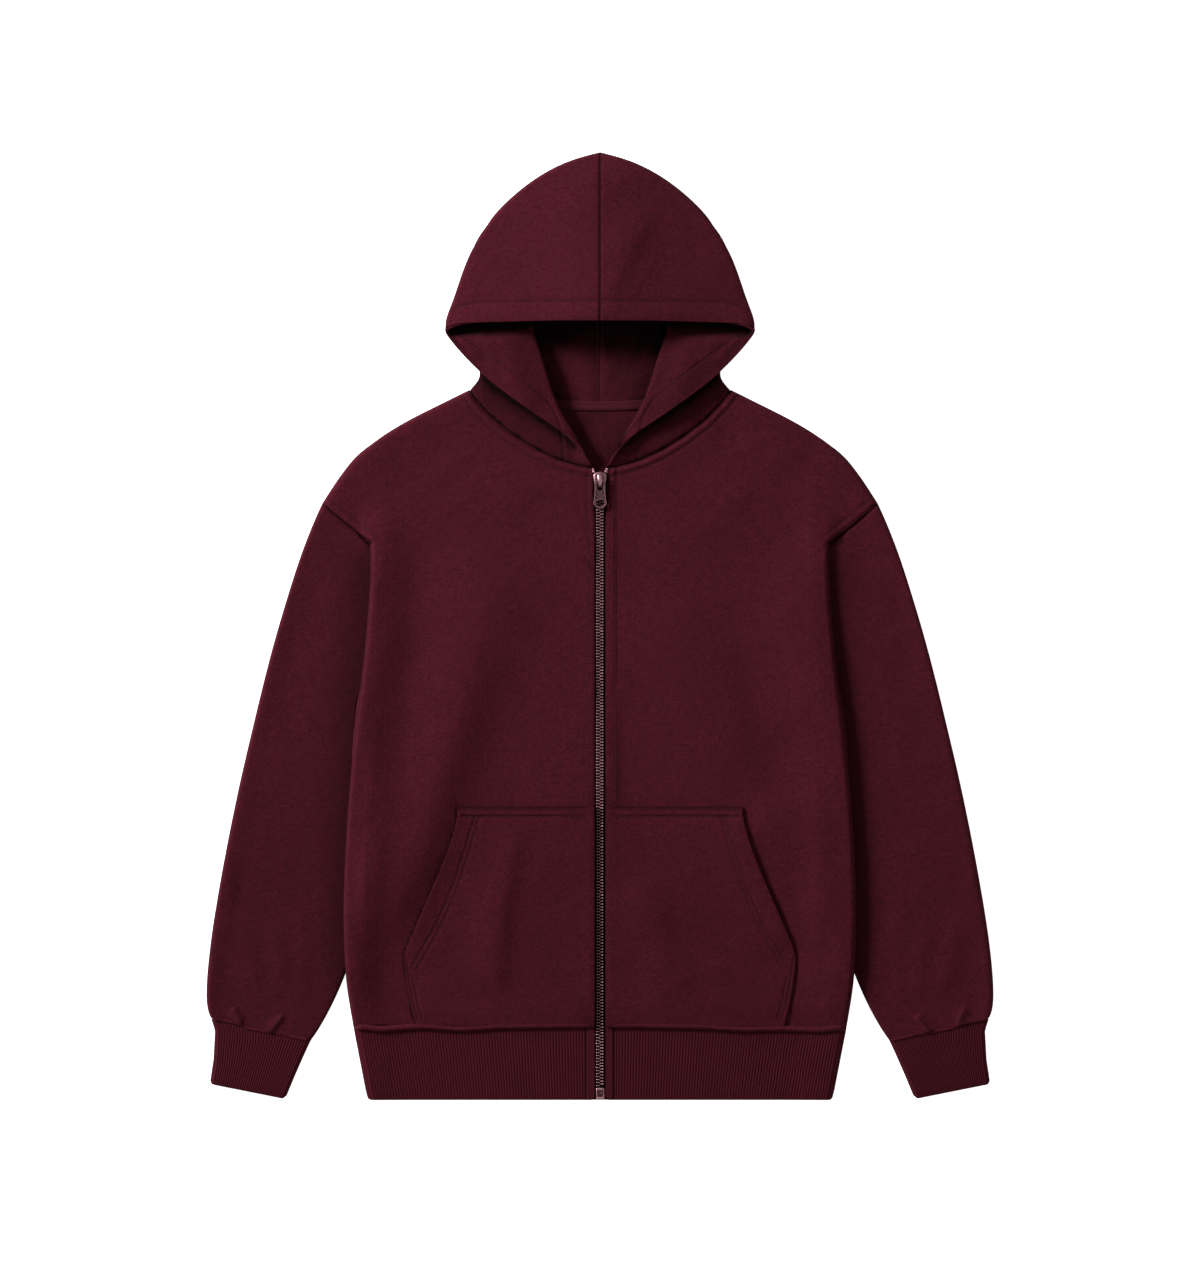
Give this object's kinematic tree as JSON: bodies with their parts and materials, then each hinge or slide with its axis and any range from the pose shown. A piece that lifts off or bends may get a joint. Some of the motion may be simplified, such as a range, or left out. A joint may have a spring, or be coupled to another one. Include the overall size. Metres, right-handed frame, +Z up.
{
  "type": "zip-up hooded sweatshirt",
  "caption": "Zip-up hooded sweatshirt laid flat on its back, with turned-back hood, split pouch pockets, ribbed cuffs and hem, and a zip with a hinged pull tab.",
  "frame": {"origin": "on the surface the garment lies on, under the middle of its bounding box", "axes": "+Z up from the surface, +Y from the hem towards the hood, -X towards the wearer's right"},
  "size_m": [0.7732, 0.929, 0.0322],
  "materials": {
    "maroon_fleece": "brushed fleece, matt",
    "maroon_rib": "rib knit, matt",
    "maroon_tape": "woven tape",
    "dark_nickel": "dark nickel plate"
  },
  "bodies": {
    "garment": {"front_right": "maroon_fleece", "front_left": "maroon_fleece", "back_panel": "maroon_fleece", "sleeve_right": "maroon_fleece", "sleeve_left": "maroon_fleece", "cuff_right": "maroon_rib", "cuff_left": "maroon_rib", "hem_rib": "maroon_rib", "pocket_right": "maroon_fleece", "pocket_left": "maroon_fleece", "hood_right": "maroon_fleece", "hood_left": "maroon_fleece", "neck_tape": "maroon_tape", "zip_tape_right": "maroon_tape", "zip_tape_left": "maroon_tape", "zip_chain": "dark_nickel", "zip_box": "dark_nickel", "zip_stop_right": "dark_nickel", "zip_stop_left": "dark_nickel", "zip_slider": "dark_nickel"},
    "pull_tab": {"zip_pull": "dark_nickel"}
  },
  "joints": [
    {"name": "pull_tab_hinge", "type": "hinge", "parent": "garment", "child": "pull_tab", "pos_m": [0, 0.1415, 0.0099], "axis": [-1, 0, 0], "range_deg": [0, 150]}
  ]
}
